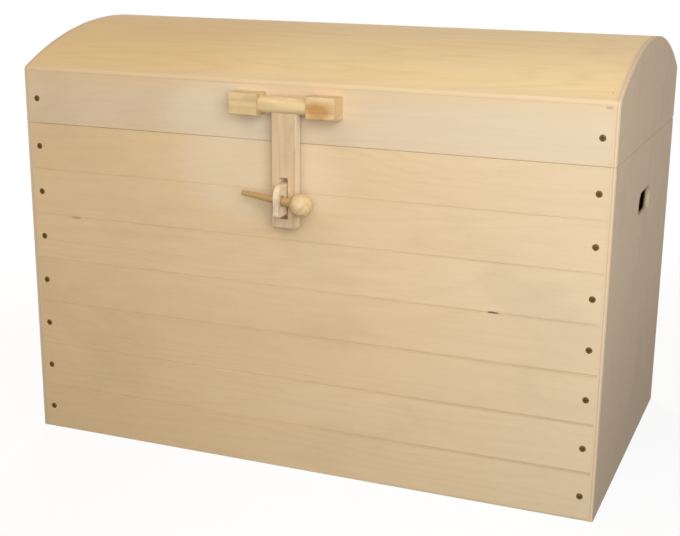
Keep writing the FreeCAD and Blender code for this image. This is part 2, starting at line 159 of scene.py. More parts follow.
def mixed(tree, share, first, second):
    """Two colours mixed by a share."""
    return put(tree, "Mix", {0: share, 6: first, 7: second}, data_type="RGBA").outputs[2]


def tinted(tree, base, mask, tint, strength):
    """Mixes a tint into a colour where a mask is, at most by the strength."""
    return mixed(tree, work_out(tree, "MULTIPLY", mask, strength), base, tint)


def colour(red, green, blue):
    """Colour as an image editor shows it, 0 to 255, turned into the linear values that Blender mixes."""
    shares = [part / 255 for part in (red, green, blue)]
    linear = [part / 12.92 if part <= 0.04045 else ((part + 0.055) / 1.055) ** 2.4 for part in shares]
    return (*linear, 1.0)


print("colour helpers ready; mid wood is", [round(part, 3) for part in colour(219, 192, 151)])

# %% [markdown]
# ## Light and floor
#
# The picture has a warm room lamp above on the left and a cool lamp on the right, at about the camera's
# height. Two area lamps stand for these, and the right end, which both of them graze, stays in shade
# as in the picture. A third lamp stands low behind the chest, so that the back and the left end can be seen
# from there. The world fills the shadows with a faint warm light. The background is white because the world
# and the floor look white to the camera, not because more light is used.

# %% World
def seen_directly(tree):
    """1 for rays that see the surface from the camera, in a mirror or through glass, otherwise 0."""
    path = put(tree, "LightPath").outputs
    seen = work_out(tree, "MAXIMUM", path["Is Camera Ray"], path["Is Glossy Ray"])
    return work_out(tree, "MAXIMUM", seen, path["Is Transmission Ray"])


white = (1.0, 1.0, 1.0, 1.0)
fill_tint = (1.0, 0.93, 0.87, 1.0)
fill_strength = 0.3
world = bpy.data.worlds.new("studio")
world.use_nodes = True
bpy.context.scene.world = world
world_tree = world.node_tree
world_tree.nodes.clear()
fill_light = put(world_tree, "Background", {"Color": fill_tint, "Strength": fill_strength}).outputs[0]
white_paper = put(world_tree, "Background", {"Color": white, "Strength": 1.0}).outputs[0]
either = put(world_tree, "MixShader", {0: seen_directly(world_tree), 1: fill_light, 2: white_paper})
put(world_tree, "OutputWorld", {"Surface": either.outputs[0]})
print("world fills at", fill_strength, "and looks white")

# %% Lamps
chest_middle = Vector((0.0, 0.0, 0.25))


def area_lamp(name, place, size, power, tint):
    """Square lamp that looks at the middle of the chest."""
    data = bpy.data.lights.new(name, "AREA")
    data.size = size
    data.energy = power
    data.color = tint
    lamp = bpy.data.objects.new(name, data)
    lamp.location = place
    lamp.rotation_euler = (chest_middle - Vector(place)).to_track_quat("-Z", "Y").to_euler()
    lamp.visible_camera = False
    bpy.context.scene.collection.objects.link(lamp)
    return lamp


area_lamp("room_lamp", place=(-0.45, -1.2, 2.05), size=1.1, power=8.2, tint=(1.0, 0.7, 0.5))
area_lamp("camera_lamp", place=(0.7, -1.3, 0.75), size=1.0, power=16.6, tint=(0.84, 0.905, 1.0))
back_lamp = area_lamp("back_lamp", place=(-1.1, 1.4, 0.55), size=0.8, power=21.0, tint=(1.0, 0.94, 0.86))
back_lamp.visible_glossy = False

# %% Floor disc
floor_radius = 1.15
floor_sides = 96
below_chest = 0.0004
floor_mesh = bpy.data.meshes.new("floor")
floor_shape = bmesh.new()
bmesh.ops.create_circle(floor_shape, cap_ends=True, segments=floor_sides, radius=floor_radius)
floor_shape.to_mesh(floor_mesh)
floor_shape.free()
floor = bpy.data.objects.new("floor", floor_mesh)
floor.location = (0, 0, -below_chest)
bpy.context.scene.collection.objects.link(floor)
print("floor disc of", floor_radius, "m")

# %% Floor paper
floor_edge = 0.6
floor_tone = (0.14, 0.14, 0.14, 1.0)
floor_glow = 0.88
floor_material = bpy.data.materials.new("pale_floor")
floor_material.use_nodes = True
floor_tree = floor_material.node_tree
floor_tree.nodes.clear()
floor_place = put(floor_tree, "TexCoord").outputs["Object"]
floor_distance = work_out_place(floor_tree, "LENGTH", floor_place)
floor_fades = between(floor_tree, floor_distance, floor_radius - floor_edge, floor_radius)
paper = put(floor_tree, "BsdfDiffuse", {"Color": floor_tone})
glow = work_out(floor_tree, "MULTIPLY", seen_directly(floor_tree), floor_glow)
lift = put(floor_tree, "Emission", {"Color": white, "Strength": glow})
lifted = put(floor_tree, "AddShader", {0: paper.outputs[0], 1: lift.outputs[0]})
clear = put(floor_tree, "BsdfTransparent")
faded = put(floor_tree, "MixShader", {0: floor_fades, 1: lifted.outputs[0], 2: clear.outputs[0]})
put(floor_tree, "OutputMaterial", {"Surface": faded.outputs[0]})
floor.data.materials.append(floor_material)
print("floor fades over its last", floor_edge, "m")

# %% [markdown]
# ## Effects shared by several woods
#
# Boards, plywood and the turned latch pieces are all pale bare wood, so they share their effects.
# Each effect is a node group, a small graph with named inputs and outputs that is built once.
# A group could hold a whole material, but these give out only colours, masks and heights:
# the shader itself stays in each material, where its roughness and bump can differ.

# %% Group helpers
def new_group(name, inputs, outputs):
    """Empty node group with named sockets: the group, the values that come in, the sockets that go out."""
    group = bpy.data.node_groups.new(name, "ShaderNodeTree")
    for label, kind in inputs.items():
        group.interface.new_socket(label, in_out="INPUT", socket_type="NodeSocket" + kind)
    for label, kind in outputs.items():
        group.interface.new_socket(label, in_out="OUTPUT", socket_type="NodeSocket" + kind)
    came_in = group.nodes.new("NodeGroupInput").outputs
    goes_out = group.nodes.new("NodeGroupOutput").inputs
    return group, came_in, goes_out


def use(tree, group, **sockets):
    """Places a group in a material and gives its outputs."""
    return put(tree, "Group", sockets, node_tree=group).outputs


print("group helpers ready")

# %% [markdown]
# ### Grain
#
# Growth rings cut along the trunk show as long wavy bands, and between them lie fine fibres and short
# dark pores. A picture of wood could be wrapped round the chest, but it would stretch at the edges.
# Here the rings are contour lines of a noise that is stretched along the board: every board, edge and end
# gets its own. The scales are features per metre, first along the grain and then across it.

# %% Grain: rings, fibres, pores and clouds
grain, given, made = new_group(
    "wood grain",
    {"Place": "Vector", "Seed": "Float", "Pale": "Color", "Deep": "Color",
     "Rings": "Float", "Fibres": "Float", "Pores": "Float", "Clouds": "Float"},
    {"Color": "Color", "Height": "Float", "Dark": "Float"})
figure_scale = (1.7, 15.0, 15.0)
fibre_scale = (9.0, 520.0, 520.0)
pore_scale = (55.0, 1100.0, 1100.0)
cloud_scale = (3.2, 7.0, 7.0)
seed_step = (3.7, 1.9, 2.3)
ring_count = 13.0
ring_contrast = 2.2
seed_shift = put(grain, "VectorMath", {0: seed_step, "Scale": given["Seed"]}, operation="SCALE").outputs[0]
place = work_out_place(grain, "ADD", given["Place"], seed_shift)
figure = noise(grain, stretch(grain, place, figure_scale), detail=2.5, roughness=0.45, distortion=0.25)
ring_turn = work_out(grain, "MULTIPLY", figure, ring_count * 2 * math.pi)
ring_wave = work_out(grain, "MULTIPLY_ADD", work_out(grain, "SINE", ring_turn), 0.5, 0.5)
late_wood = work_out(grain, "POWER", ring_wave, ring_contrast)
fibre = noise(grain, stretch(grain, place, fibre_scale), detail=3.0, roughness=0.65)
pore = noise(grain, stretch(grain, place, pore_scale), detail=1.0)
pore = between(grain, pore, low=0.64, high=0.74)
cloud = noise(grain, stretch(grain, place, cloud_scale), detail=3.0, roughness=0.55)
print("grain starts from", len(grain.nodes), "nodes")

# %% Grain: how dark and how deep
even_tone = 0.45
dark = work_out(grain, "MULTIPLY", late_wood, given["Rings"])
fibre_tone = work_out(grain, "SUBTRACT", fibre, even_tone)
dark = work_out(grain, "MULTIPLY_ADD", fibre_tone, given["Fibres"], dark)
dark = work_out(grain, "MULTIPLY_ADD", pore, given["Pores"], dark)
cloud_tone = work_out(grain, "SUBTRACT", cloud, even_tone)
dark = work_out(grain, "MULTIPLY_ADD", cloud_tone, given["Clouds"], dark)
dark = work_out(grain, "MAXIMUM", dark, 0.0)
dark = work_out(grain, "MINIMUM", dark, 1.0)
ring_depth = -0.25
pore_depth = -0.8
height = work_out(grain, "MULTIPLY_ADD", late_wood, ring_depth, fibre)
height = work_out(grain, "MULTIPLY_ADD", pore, pore_depth, height)
fill(grain, made["Color"], mixed(grain, dark, given["Pale"], given["Deep"]))
fill(grain, made["Height"], height)
fill(grain, made["Dark"], dark)
print("grain group with", len(grain.nodes), "nodes")

# %% [markdown]
# ### Plies
#
# Where plywood is cut, its layers show: pale long grain, darker end grain and thin glue lines by turns.
# The layers are stripes in the distance through the sheet, so they need only that distance
# and the thickness of a ply. A slow noise makes them wander a little, as veneers do.

# %% Plies group
plies, given, made = new_group(
    "cut plies",
    {"Depth": "Float", "Ply": "Float", "Place": "Vector", "Pale": "Color", "Deep": "Color"},
    {"Color": "Color", "Height": "Float"})
wander_scale = (60.0, 60.0, 60.0)
wander_share = 0.25
end_scale = (900.0, 900.0, 900.0)
end_contrast = 0.5
glue_width = 0.07
glue_tone = 0.4
glue_depth = -0.6
wander = noise(plies, stretch(plies, given["Place"], wander_scale), detail=2.0)
layer = work_out(plies, "DIVIDE", given["Depth"], given["Ply"])
layer = work_out(plies, "MULTIPLY_ADD", work_out(plies, "SUBTRACT", wander, 0.5), wander_share, layer)
crosswise = between(plies, work_out(plies, "PINGPONG", layer, 1.0), low=0.42, high=0.58)
to_glue = work_out(plies, "FRACT", work_out(plies, "ADD", layer, 0.5))
glue = work_out(plies, "COMPARE", to_glue, 0.0, glue_width)
end_fibre = noise(plies, stretch(plies, given["Place"], end_scale), detail=2.0)
end_tone = work_out(plies, "SUBTRACT", end_fibre, 0.5)
depth_tone = work_out(plies, "MULTIPLY_ADD", end_tone, end_contrast, crosswise)
depth_tone = work_out(plies, "ADD", depth_tone, work_out(plies, "MULTIPLY", glue, glue_tone), clamp=True)
fill(plies, made["Color"], mixed(plies, depth_tone, given["Pale"], given["Deep"]))
fill(plies, made["Height"], work_out(plies, "MULTIPLY_ADD", glue, glue_depth, end_fibre))
print("plies group with", len(plies.nodes), "nodes")

# %% [markdown]
# ### Marks and handling
#
# A knot, a dent or a rubbed place is one spot on the chest, and hands leave faint grey clouds on bare wood.
# Both could be painted on a picture, but here they are worked out from the place on the chest:
# the spot is a soft ellipsoid with a ragged edge, and the clouds are a wide noise with most of it cut away.

# %% Mark group
mark, given, made = new_group(
    "single mark",
    {"Place": "Vector", "Middle": "Vector", "Reach": "Vector", "Ragged": "Float"},
    {"Mask": "Float"})
ragged_scale = (260.0, 260.0, 420.0)
full_within = 0.6
gone_beyond = 1.1
ragged = noise(mark, stretch(mark, given["Place"], ragged_scale), detail=3.0)
away = work_out_place(mark, "SUBTRACT", given["Place"], given["Middle"])
away = work_out_place(mark, "DIVIDE", away, given["Reach"])
away = work_out_place(mark, "LENGTH", away)
away = work_out(mark, "MULTIPLY_ADD", work_out(mark, "SUBTRACT", ragged, 0.5), given["Ragged"], away)
outside = between(mark, away, full_within, gone_beyond)
fill(mark, made["Mask"], work_out(mark, "SUBTRACT", 1.0, outside))


def marked(tree, base, place, tint, strength, middle, reach, ragged):
    """Puts one mark on a colour, at its own place on the chest."""
    spot = use(tree, mark, Place=place, Middle=middle, Reach=reach, Ragged=ragged)
    return tinted(tree, base, spot["Mask"], tint, strength)


print("mark group with", len(mark.nodes), "nodes")

# %% Handling group
handling, given, made = new_group("handling", {"Place": "Vector", "Amount": "Float"}, {"Mask": "Float"})
smudge_scale = (6.0, 9.0, 9.0)
speck_scale = (240.0, 240.0, 240.0)
speck_share = 0.5
smudge = noise(handling, stretch(handling, given["Place"], smudge_scale), detail=4.0, roughness=0.6)
smudge = between(handling, smudge, low=0.5, high=0.72)
speck = noise(handling, stretch(handling, given["Place"], speck_scale), detail=2.0)
speck = between(handling, speck, low=0.66, high=0.76)
smudge = work_out(handling, "MULTIPLY_ADD", speck, speck_share, smudge)
fill(handling, made["Mask"], work_out(handling, "MULTIPLY", smudge, given["Amount"], clamp=True))


def handled(tree, base, place, tint, amount):
    """Leaves the faint clouds of hands on a colour."""
    return mixed(tree, use(tree, handling, Place=place, Amount=amount)["Mask"], base, tint)


print("handling group with", len(handling.nodes), "nodes")

# %% [markdown]
# ## The boards
#
# The walls are planed boards of pale softwood, each from another part of the trunk.
# A material for each board would do, but one material can tell the boards apart by height:
# the board's number picks its tone and shifts its grain. Towards the left the wood is painted warmer
# and more golden, the warm lamp's light painted in, and towards the right end it is painted cooler and
# greyer, the cool lamp's light painted in. Round the latch it is painted paler and greyer, painted light
# that lifts the shade there. Beside the bevelled seams the boards are a little darker, more so towards
# the lower right.

# %% Board number group
board_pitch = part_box("front_board_2")[0].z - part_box("front_board_1")[0].z
seam_core = 0.0004
seam_skirt = 0.0031
back_numbers = 20.0
# Rounding can put a lower edge a hair too low, so rows are counted with this slack, a share of a board.
row_slack = 0.0005
board_number, given, made = new_group(
    "board number", {"Place": "Vector"}, {"Seed": "Float", "Seam": "Float"})
across = axes(board_number, given["Place"])
rows = work_out(board_number, "DIVIDE", across["Z"], board_pitch)
row = work_out(board_number, "FLOOR", work_out(board_number, "ADD", rows, row_slack))
behind = work_out(board_number, "GREATER_THAN", across["Y"], 0.0)
number = work_out(board_number, "MULTIPLY_ADD", behind, back_numbers, row)
drawn = put(board_number, "TexWhiteNoise", {"W": number}, noise_dimensions="1D").outputs[0]
from_seam = work_out(board_number, "PINGPONG", across["Z"], board_pitch / 2)
beside_seam = between(board_number, from_seam, seam_core, seam_skirt)
fill(board_number, made["Seed"], drawn)
fill(board_number, made["Seam"], work_out(board_number, "SUBTRACT", 1.0, beside_seam))
print("board pitch", round(board_pitch, 4))

# %% Material helpers
wood_sheen = 0.35
grain_relief = 0.0004
smoother_when_dark = -0.12


def new_material(name):
    """Material with its own shader, and the coordinates of the piece that it is put on."""
    material = bpy.data.materials.new(name)
    material.use_nodes = True
    tree = material.node_tree
    shader = tree.nodes["Principled BSDF"]
    shader.inputs["Specular IOR Level"].default_value = wood_sheen
    return material, tree, shader, put(tree, "TexCoord").outputs


def rearranged(tree, place, order):
    """The same coordinates with the grain's own axis first, such as ZYX for wood that stands upright."""
    parts = axes(tree, place)
    return put(tree, "CombineXYZ", {index: parts[axis] for index, axis in enumerate(order)}).outputs[0]


def finish_wood(tree, shader, base, height, dark, rough, bump):
    """Bare wood: colour, a roughness that follows the grain, and a slight relief."""
    fill(tree, shader.inputs["Base Color"], base)
    fill(tree, shader.inputs["Roughness"], work_out(tree, "MULTIPLY_ADD", dark, smoother_when_dark, rough))
    relief = put(tree, "Bump", {"Height": height, "Strength": bump, "Distance": grain_relief})
    fill(tree, shader.inputs["Normal"], relief.outputs[0])


print("material helpers ready")

# %% Tones of the boards
# The marks lie on the front face, which is this far from the middle.
front = -0.2
board_pale = colour(239, 211, 167)
board_deep = colour(206, 170, 119)
board_warm = colour(227, 194, 144)
warm_light_tint = colour(236, 197, 126)
cool_light_tint = colour(215, 206, 179)
smudge_grey = colour(196, 172, 138)
seam_dark_tint = colour(164, 132, 92)
painted_light_round_latch = colour(240, 226, 196)
knot_brown = colour(84, 58, 28)
stain_brown = colour(140, 100, 58)
print("pale boards are", [round(part, 3) for part in board_pale[:3]])

# %% Boards of the walls
boards, tree, shader, coordinates = new_material("planed_boards")
place = coordinates["Object"]
board = use(tree, board_number, Place=place)
wood = use(tree, grain, Place=place, Seed=board["Seed"], Pale=board_pale, Deep=board_deep,
           Rings=0.1, Fibres=0.35, Pores=0.14, Clouds=0.45)
base = tinted(tree, wood["Color"], board["Seed"], board_warm, strength=0.25)
base = handled(tree, base, place, smudge_grey, amount=0.22)
across = axes(tree, place)
to_left = between(tree, across["X"], low=0.3, high=-0.3)
to_end = between(tree, across["X"], low=0.08, high=0.36)
to_right = between(tree, across["X"], low=-0.1, high=0.3)
to_floor = between(tree, across["Z"], low=0.38, high=0.04)
# Painted light: warmer and more golden towards the left for the warm lamp, cooler and greyer towards the
# right end for the cool lamp.
base = tinted(tree, base, to_left, warm_light_tint, strength=0.2)
base = tinted(tree, base, to_end, cool_light_tint, strength=0.22)
# Darker beside the seams, more so towards the lower right.
lower_right_share = work_out(tree, "MULTIPLY", to_right, to_floor)
least_seam_dark = 0.05
more_seam_dark = 0.27
seam_darkness = work_out(tree, "MULTIPLY_ADD", lower_right_share, more_seam_dark, least_seam_dark)
base = tinted(tree, base, board["Seam"], seam_dark_tint, strength=seam_darkness)
# Painted light: a paler, greyer patch round the latch that lifts the latch's shade.
base = marked(tree, base, place, painted_light_round_latch, strength=0.36,
              middle=(-0.045, front, 0.352), reach=(0.115, 0.05, 0.066), ragged=0.2)
base = marked(tree, base, place, knot_brown, strength=0.8,
              middle=(0.230, front, 0.2205), reach=(0.0070, 0.01, 0.0014), ragged=0.5)
base = marked(tree, base, place, stain_brown, strength=0.4,
              middle=(-0.287, front, 0.2740), reach=(0.007, 0.01, 0.0018), ragged=0.9)
finish_wood(tree, shader, base, wood["Height"], wood["Dark"], rough=0.62, bump=0.35)
print("boards of the walls:", len(tree.nodes), "nodes")

# %% Boards of the lid
lid_pale = colour(231, 207, 170)
lid_golden = colour(230, 196, 138)
brad_brown = colour(150, 124, 92)
lid_board_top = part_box("lid_top_sheet")[0].z
golden_width = 0.025

lid_boards, tree, shader, coordinates = new_material("lid_boards")
place = coordinates["Object"]
wood = use(tree, grain, Place=place, Seed=5.3, Pale=lid_pale, Deep=board_deep,
           Rings=0.08, Fibres=0.3, Pores=0.12, Clouds=0.4)
base = handled(tree, wood["Color"], place, smudge_grey, amount=0.2)
across = axes(tree, place)
to_right = between(tree, across["X"], low=-0.1, high=0.3)
below_sheet = between(tree, across["Z"], lid_board_top - golden_width, lid_board_top)
# Painted light: cooler and greyer towards the right, for the cool lamp.
base = tinted(tree, base, to_right, cool_light_tint, strength=0.18)
base = tinted(tree, base, below_sheet, lid_golden, strength=0.3)
# Painted light: a paler, greyer patch round the latch that lifts the latch's shade.
base = marked(tree, base, place, painted_light_round_latch, strength=0.35,
              middle=(-0.085, front, 0.41), reach=(0.085, 0.05, 0.05), ragged=0.2)
base = marked(tree, base, place, brad_brown, strength=0.45,
              middle=(0.339, front, 0.4442), reach=(0.0042, 0.01, 0.0018), ragged=0.6)
finish_wood(tree, shader, base, wood["Height"], wood["Dark"], rough=0.6, bump=0.35)
print("boards of the lid:", len(tree.nodes), "nodes")

# %% [markdown]
# ### Sawn wood inside
#
# Battens, cleats and ribs are hidden inside the closed chest, so they were sawn and left rough.
# They could share the boards' material, but their grain is coarser and follows each piece's length:
# upright in the corners, along the front, or from front to back.

# %% Battens, cleats and ribs
sawn_pale = colour(222, 194, 150)
sawn_deep = colour(178, 142, 96)


def sawn_wood(name, order, seed):
    """Coarser wood of the pieces inside, with the grain along the first of the three axes."""
    material, tree, shader, coordinates = new_material(name)
    place = coordinates["Object"]
    wood = use(tree, grain, Place=rearranged(tree, place, order), Seed=seed, Pale=sawn_pale, Deep=sawn_deep,
               Rings=0.3, Fibres=0.6, Pores=0.3, Clouds=0.5)
    base = handled(tree, wood["Color"], place, smudge_grey, amount=0.3)
    finish_wood(tree, shader, base, wood["Height"], wood["Dark"], rough=0.7, bump=0.6)
    return material


upright_wood = sawn_wood("corner_battens", "ZYX", seed=9.1)
long_wood = sawn_wood("long_cleats", "XYZ", seed=2.2)
short_wood = sawn_wood("ribs_and_short_cleats", "YXZ", seed=7.4)
print("sawn woods", [material.name for material in (upright_wood, long_wood, short_wood)])

# %% [markdown]
# ## Plywood ends, bottom and lid sheet
#
# The ends are thin plywood with the face grain upright, with painted shade towards the floor.
# On the broad faces the veneer shows, on the cut edges the plies do. Each face could get its own material,
# but which is which follows from the surface normal, so one material serves the whole piece.

# %% Plywood of the ends and the bottom
ply_pale = colour(225, 199, 164)
ply_deep = colour(198, 165, 124)
edge_pale = colour(232, 208, 172)
edge_deep = colour(219, 190, 149)
floor_shade_tint = colour(172, 148, 116)
floor_shade_height = 0.3
# A face is a broad one if its normal lies at least this much along the depth axis.
looks_along = 0.5


def plywood(name, order, depth_axis, ply, seed, rings, floor_shade_strength):
    """Veneer on broad faces, cut plies on the edges, painted shade near the floor. Depth runs through the
    sheet.
    """
    material, tree, shader, coordinates = new_material(name)
    place = coordinates["Object"]
    across = axes(tree, place)
    wood = use(tree, grain, Place=rearranged(tree, place, order), Seed=seed, Pale=ply_pale, Deep=ply_deep,
               Rings=rings, Fibres=0.35, Pores=0.15, Clouds=0.45)
    edge = use(tree, plies, Depth=across[depth_axis], Ply=ply, Place=place, Pale=edge_pale, Deep=edge_deep)
    facing = work_out(tree, "ABSOLUTE", axes(tree, coordinates["Normal"])[depth_axis])
    cut_edge = work_out(tree, "LESS_THAN", facing, looks_along)
    base = handled(tree, wood["Color"], place, smudge_grey, amount=0.25)
    # Painted shade: darker towards the floor.
    near_floor = between(tree, across["Z"], floor_shade_height, 0.0)
    base = tinted(tree, base, near_floor, floor_shade_tint, strength=floor_shade_strength)
    base = mixed(tree, cut_edge, base, edge["Color"])
    height = put(tree, "Mix", {0: cut_edge, 2: wood["Height"], 3: edge["Height"]}).outputs[0]
    finish_wood(tree, shader, base, height, wood["Dark"], rough=0.6, bump=0.4)
    return material


end_ply = plywood("end_plywood", "ZYX", "X", ply=0.0015, seed=2.7, rings=0.12, floor_shade_strength=0.42)
bottom_ply = plywood("bottom_plywood", "XYZ", "Z", ply=0.0018, seed=6.4, rings=0.2, floor_shade_strength=0.0)
print("plywood materials", end_ply.name, bottom_ply.name)

# %% [markdown]
# ### The bent lid sheet
#
# The lid is a thin sheet, bent over the arched ribs and sanded where it meets the boards. Its left part
# is more golden than the rest. The plies could be striped by height, but they follow the bend,
# so their depth is the distance from the arch's axis, which the rise of the arch and the depth
# of the chest give.

# %% Where the sheet's arch has its axis
gable_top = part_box("lid_left_gable")[1].z
half_depth = -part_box("front_board_1")[0].y
arch_rise = 0.05
arch_radius = (half_depth ** 2 + arch_rise ** 2) / (2 * arch_rise)
arch_centre = Vector((0.0, 0.0, gable_top - arch_radius))
print("arch radius", round(arch_radius, 4), "centre", arch_centre[:])

# %% Lid sheet
sheet_pale = colour(247, 220, 164)
sheet_deep = colour(217, 177, 111)
sheet_edge_pale = colour(230, 202, 160)
sheet_edge_deep = colour(224, 196, 153)
sheet_golden = colour(222, 182, 116)
sanded_pale = colour(228, 203, 164)
sanded_width = 0.02
sanded_past = 0.003
sheet_ply = 0.00134
# A cut edge of the sheet looks to the front or the back at least this much.
looks_forward = 0.85

lid_sheet, tree, shader, coordinates = new_material("bent_lid_sheet")
place = coordinates["Object"]
wood = use(tree, grain, Place=place, Seed=1.4, Pale=sheet_pale, Deep=sheet_deep,
           Rings=0.14, Fibres=0.4, Pores=0.15, Clouds=0.5)
from_arch = work_out_place(tree, "SUBTRACT", place, arch_centre)
through = work_out_place(tree, "LENGTH", stretch(tree, from_arch, (0.0, 1.0, 1.0)))
edge = use(tree, plies, Depth=through, Ply=sheet_ply, Place=place,
           Pale=sheet_edge_pale, Deep=sheet_edge_deep)
facing = work_out(tree, "ABSOLUTE", axes(tree, coordinates["Normal"])["Y"])
cut_edge = work_out(tree, "GREATER_THAN", facing, looks_forward)
base = handled(tree, wood["Color"], place, smudge_grey, amount=0.2)
base = marked(tree, base, place, sheet_golden, strength=0.35,
              middle=(-0.36, 0.0, gable_top), reach=(0.36, 0.5, 0.5), ragged=0.1)
from_middle = work_out(tree, "ABSOLUTE", axes(tree, place)["Y"])
sanded = between(tree, from_middle, half_depth - sanded_width, half_depth + sanded_past)
base = tinted(tree, base, sanded, sanded_pale, strength=0.6)
base = mixed(tree, cut_edge, base, edge["Color"])
finish_wood(tree, shader, base, wood["Height"], wood["Dark"], rough=0.55, bump=0.3)
print("lid sheet:", len(tree.nodes), "nodes")

# %% [markdown]
# ## Latch woods
#
# The hasp's blocks, bar, strap and peg are small pieces from offcuts, so their tones differ more than the
# boards' do: one block holds a patch of brown heartwood and the peg is darker than its ball. The strap's
# sides are painted paler and the staple paler still, painted light for the light that falls on them.
# A material could be drawn for each piece, but one recipe does for all of them.
# It takes the tone, the grain's direction, the brown patches and the sides.

# %% Latch recipe
finer_grain = [1.6] * 3
closer_smudges = [4.0] * 3
heart_coarseness = 0.3
latch_smudge = colour(170, 140, 100)
heart_pale = colour(206, 148, 74)
heart_deep = colour(156, 100, 42)


def latch_wood(name, order, seed, rings, pale, deep, hearts=(), sides=None):
    """Small offcut. Hearts are patches of brown heartwood, each with its middle, its reach and its strength.
    Sides is a paler colour painted on the faces that look left and right, painted light as if lit from the
    side, if the piece has it."""
    material, tree, shader, coordinates = new_material(name)
    place = coordinates["Object"]
    along = rearranged(tree, stretch(tree, place, finer_grain), order)
    wood = use(tree, grain, Place=along, Seed=seed, Pale=pale, Deep=deep,
               Rings=rings, Fibres=0.6, Pores=0.3, Clouds=0.7)
    base = handled(tree, wood["Color"], stretch(tree, place, closer_smudges), latch_smudge, amount=0.3)
    for middle, reach, strength in hearts:
        heartwood = mixed(tree, wood["Dark"], heart_pale, heart_deep)
        coarse = stretch(tree, place, [heart_coarseness] * 3)
        base = marked(tree, base, coarse, heartwood, strength, ragged=0.9,
                      middle=[heart_coarseness * part for part in middle],
                      reach=[heart_coarseness * part for part in reach])
    if sides:
        # Painted light: the faces that look left and right are paler, as if lit from the side.
        facing = work_out(tree, "ABSOLUTE", axes(tree, coordinates["Normal"])["X"])
        sideways = between(tree, facing, low=0.6, high=0.9)
        base = tinted(tree, base, sideways, sides, strength=0.8)
    finish_wood(tree, shader, base, wood["Height"], wood["Dark"], rough=0.5, bump=0.3)
    return material


print("latch recipe ready")

# %% Latch materials
block_low, block_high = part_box("hasp_block_right")
block_middle = (block_low + block_high) / 2
# The brown patch is on the front of the right block, near its left end.
heart_middle = (block_low.x + 0.013, block_low.y, block_middle.z - 0.002)
wide_heart = (heart_middle, (0.021, 0.018, 0.012), 0.45)
inner_heart = (heart_middle, (0.014, 0.016, 0.008), 0.65)

pale_block = latch_wood("pale_block", "XYZ", seed=3.3, rings=0.3,
                        pale=colour(234, 205, 152), deep=colour(192, 150, 92))
brown_block = latch_wood("brown_block", "XYZ", seed=7.9, rings=0.3, hearts=[wide_heart, inner_heart],
                         pale=colour(240, 210, 158), deep=colour(204, 160, 98))
bar_wood = latch_wood("bar_wood", "XYZ", seed=4.6, rings=0.25,
                      pale=colour(240, 213, 158), deep=colour(196, 154, 92))
strap_wood = latch_wood("strap_wood", "ZYX", seed=8.2, rings=0.25, sides=colour(244, 228, 192),
                        pale=colour(223, 196, 155), deep=colour(187, 154, 110))
# Painted light: the staple's paler tone stands for the strong light on its top and front.
staple_wood = latch_wood("staple_wood", "YXZ", seed=6.1, rings=0.25,
                         pale=colour(246, 226, 190), deep=colour(212, 178, 130))
peg_wood = latch_wood("peg_wood", "XYZ", seed=5.7, rings=0.3,
                      pale=colour(208, 172, 114), deep=colour(164, 122, 68))
ball_wood = latch_wood("ball_wood", "XYZ", seed=5.7, rings=0.3,
                       pale=colour(234, 204, 152), deep=colour(186, 142, 84))
print("brown heart at", [round(part, 4) for part in heart_middle])

# %% [markdown]
# ## Metals
#
# The screws are bronzed steel, dull and a little rubbed, and the hinges are satin brass.
# A plain metal shader would look new and even, so a fine noise rubs it brighter and rougher in places.

# %% Metal materials
metal_share = 0.85
scuff_relief = 0.0002
scuff_bump = 0.15
rougher_by = 0.25


def metal(name, base, worn, rough, scuffs_per_metre):
    """Dull metal that is rubbed brighter in places."""
    material, tree, shader, coordinates = new_material(name)
    place = stretch(tree, coordinates["Object"], [scuffs_per_metre] * 3)
    scuffs = noise(tree, place, detail=4.0, roughness=0.65)
    rubbed = between(tree, scuffs, low=0.5, high=0.7)
    fill(tree, shader.inputs["Base Color"], mixed(tree, rubbed, base, worn))
    fill(tree, shader.inputs["Roughness"], work_out(tree, "MULTIPLY_ADD", scuffs, rougher_by, rough))
    shader.inputs["Metallic"].default_value = metal_share
    relief = put(tree, "Bump", {"Height": scuffs, "Strength": scuff_bump, "Distance": scuff_relief})
    fill(tree, shader.inputs["Normal"], relief.outputs[0])
    return material


screw_bronze = metal("screw_bronze", base=colour(104, 78, 44), worn=colour(142, 112, 70),
                     rough=0.4, scuffs_per_metre=900.0)
pin_steel = metal("pin_steel", base=colour(186, 172, 148), worn=colour(206, 192, 168),
                  rough=0.35, scuffs_per_metre=900.0)
hinge_brass = metal("hinge_brass", base=colour(186, 150, 82), worn=colour(214, 182, 116),
                    rough=0.28, scuffs_per_metre=220.0)
print("metals", screw_bronze.name, pin_steel.name, hinge_brass.name)

# %% [markdown]
# ## Dressing the pieces
#
# The CAD pieces keep their meshes and only get their finishes here. Each could be dressed by hand,
# but most names already say what a piece is, so a few rules sort those, and the rest are named one by one.

# %% Put the materials on the CAD pieces
finishes = {}
for name in nodes:
    if name.startswith(("front_board", "back_board")):
        finishes[name] = boards
    elif name in ("lid_front_board", "lid_back_board"):
        finishes[name] = lid_boards
    elif name.endswith(("end_panel", "gable")):
        finishes[name] = end_ply
    elif name.startswith("corner_batten"):
        finishes[name] = upright_wood
    elif name in ("bottom_cleat_front", "bottom_cleat_back"):
        finishes[name] = long_wood
    elif name.startswith("bottom_cleat") or name.endswith("rib"):
        finishes[name] = short_wood
    elif name.startswith("hinge"):
        finishes[name] = hinge_brass
    elif name.endswith("screws"):
        finishes[name] = screw_bronze
finishes.update({
    "bottom_panel": bottom_ply, "lid_top_sheet": lid_sheet, "top_sheet_pins": pin_steel,
    "hasp_block_left": pale_block, "hasp_block_right": brown_block, "hasp_bar": bar_wood,
    "hasp_strap": strap_wood, "hasp_staple": staple_wood, "locking_peg": peg_wood, "peg_knob": ball_wood,
})
